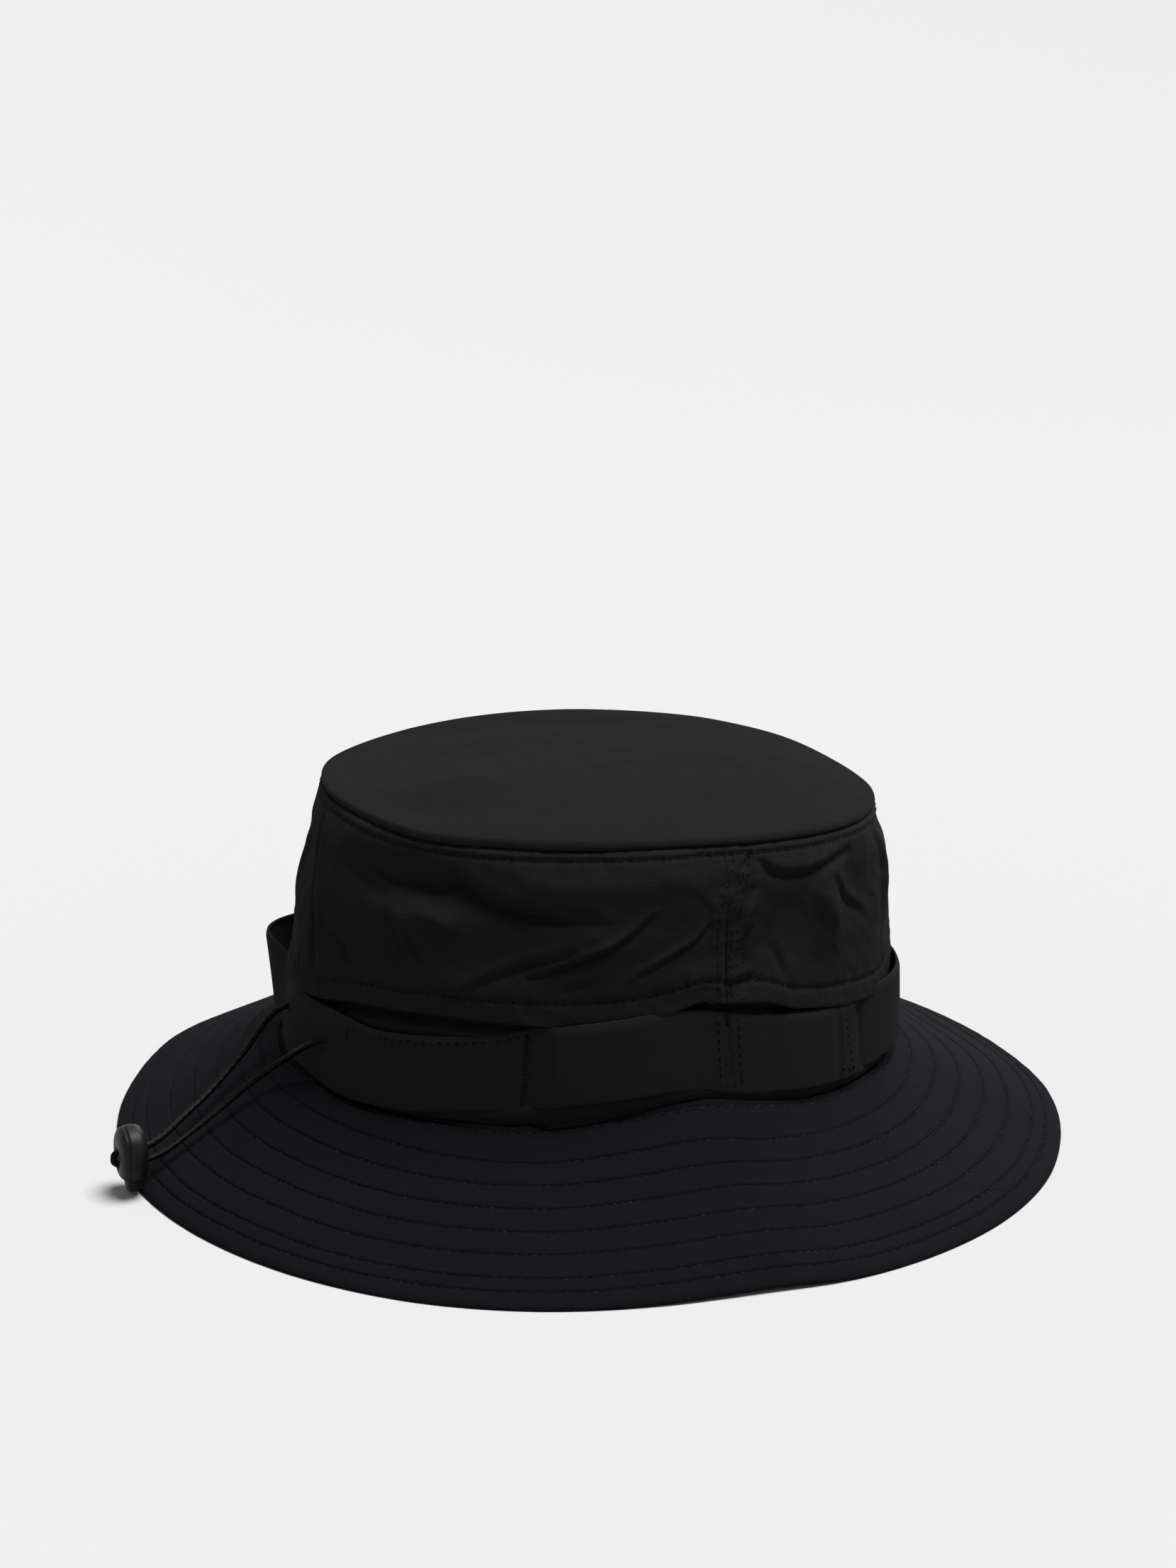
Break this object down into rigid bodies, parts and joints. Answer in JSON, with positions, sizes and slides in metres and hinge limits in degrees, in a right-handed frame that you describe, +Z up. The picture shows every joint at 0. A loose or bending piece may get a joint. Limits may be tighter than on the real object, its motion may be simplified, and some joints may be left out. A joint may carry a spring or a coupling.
{
  "type": "bucket hat",
  "caption": "Soft bucket hat with a domed oval crown, a sloping stitched brim, a tacked webbing band, and a drawcord with a sprung cord lock hanging behind.",
  "frame": {"origin": "middle of the brim's lower edge circle, at the height that the hat stands on", "axes": "+Z up through the crown, +Y to the back of the hat where the drawcord comes out, side seams at -X and +X"},
  "size_m": [0.32, 0.3294, 0.12],
  "materials": {
    "crown_cloth": "matte crinkled plain weave",
    "brim_cloth": "matte plain weave",
    "interlining": "stiff felted nonwoven",
    "webbing": "woven tape, slight sheen",
    "thread": "twisted thread, slight sheen",
    "tape": "folded binding tape",
    "sweatband_cloth": "soft wicking jersey",
    "label": "smooth woven ribbon",
    "cord": "braided cord, slight sheen",
    "lock_plastic": "matte moulded",
    "plunger_plastic": "matte moulded, ribbed foot",
    "spring_steel": "drawn wire"
  },
  "bodies": {
    "hat": {"crown_side_front": "crown_cloth", "crown_side_back": "crown_cloth", "crown_band_front": "crown_cloth", "crown_band_back": "crown_cloth", "crown_top_panel": "crown_cloth", "brim_upper": "brim_cloth", "brim_interlining": "interlining", "brim_lower": "brim_cloth", "webbing_band": "webbing", "webbing_tacks": "thread", "drawcord_channel_tape": "tape", "sweatband": "sweatband_cloth", "care_label": "label", "top_seam_tape": "tape", "side_seam_tape_left": "tape", "side_seam_tape_right": "tape", "cord_buttonhole_left": "thread", "cord_buttonhole_right": "thread", "drawcord_in_channel": "cord", "drawcord_loop": "cord"},
    "cord_lock": {"cord_lock_body": "lock_plastic", "cord_lock_spring": "spring_steel"},
    "lock_plunger": {"cord_lock_plunger": "plunger_plastic"}
  },
  "joints": [
    {"name": "lock_slide", "type": "slide", "parent": "hat", "child": "cord_lock", "axis": [0, -0.8635, 0.5043], "range_m": [0, 0.02], "deforming": ["drawcord_loop"]},
    {"name": "plunger_press", "type": "slide", "parent": "cord_lock", "child": "lock_plunger", "axis": [0, 0, 1], "range_m": [0, 0.0028], "stiffness_N_per_m": 1500, "springref_m": -0.001, "deforming": ["cord_lock_spring"]}
  ]
}
